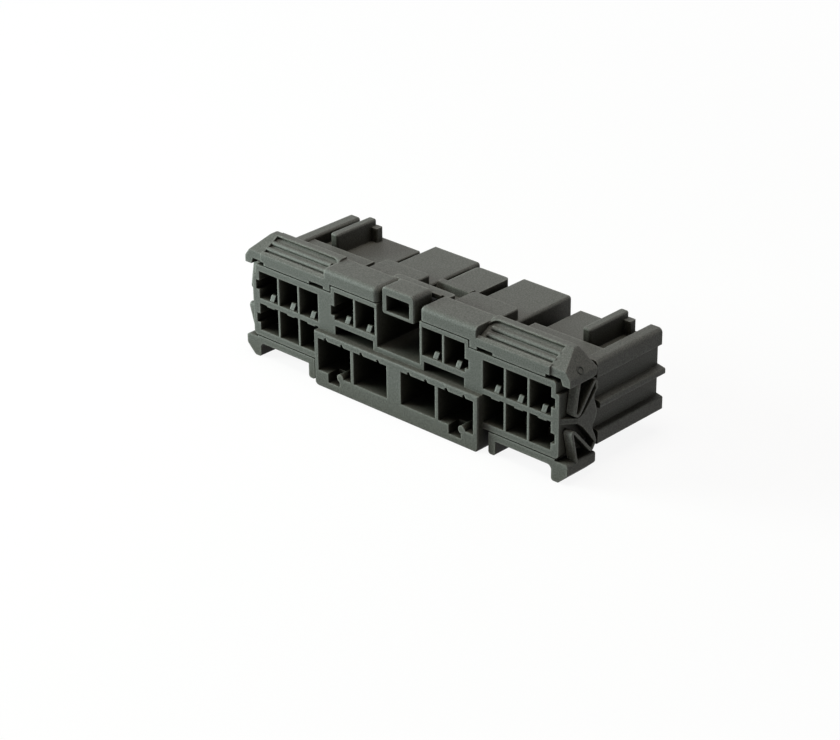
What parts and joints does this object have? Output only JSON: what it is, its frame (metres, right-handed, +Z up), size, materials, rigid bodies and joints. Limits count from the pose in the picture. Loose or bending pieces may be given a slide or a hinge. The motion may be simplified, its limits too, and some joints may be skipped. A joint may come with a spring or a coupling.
{
  "type": "automotive wiring connector",
  "caption": "Hybrid wiring connector housing with small and large terminal cavities, a centre latch arm and terminal retainers on folded end straps.",
  "frame": {"origin": "middle of the footprint, on the plane that the connector stands on", "axes": "+X along the connector, +Y from the wire face to the mating face, +Z up towards the latch"},
  "size_m": [0.0446, 0.0162, 0.0137],
  "materials": {
    "housing_plastic": "fine-grained satin moulding, dark greenish grey"
  },
  "bodies": {
    "housing": {"housing": "housing_plastic", "upper_strap_left": "housing_plastic", "upper_strap_right": "housing_plastic", "lower_strap_left": "housing_plastic", "lower_strap_right": "housing_plastic"},
    "latch": {"latch_arm": "housing_plastic"},
    "upper_retainer": {"upper_retainer_left": "housing_plastic", "upper_retainer_right": "housing_plastic", "retainer_bridge": "housing_plastic"},
    "lower_retainer_left": {"lower_retainer_left": "housing_plastic"},
    "lower_retainer_right": {"lower_retainer_right": "housing_plastic"}
  },
  "joints": [
    {"name": "latch_press", "type": "hinge", "parent": "housing", "child": "latch", "pos_m": [0, 0.00682, 0.0095], "axis": [1, 0, 0], "range_deg": [0, 8], "stiffness_Nm_per_rad": 0.2},
    {"name": "upper_retainer_slide", "type": "slide", "parent": "housing", "child": "upper_retainer", "axis": [0, 0, 1], "range_m": [0, 0.0012], "deforming": ["upper_strap_left", "upper_strap_right"]},
    {"name": "lower_retainer_left_slide", "type": "slide", "parent": "housing", "child": "lower_retainer_left", "axis": [0, 0, -1], "range_m": [0, 0.0012], "deforming": ["lower_strap_left"]},
    {"name": "lower_retainer_right_slide", "type": "slide", "parent": "housing", "child": "lower_retainer_right", "axis": [0, 0, -1], "range_m": [0, 0.0012], "deforming": ["lower_strap_right"]}
  ]
}
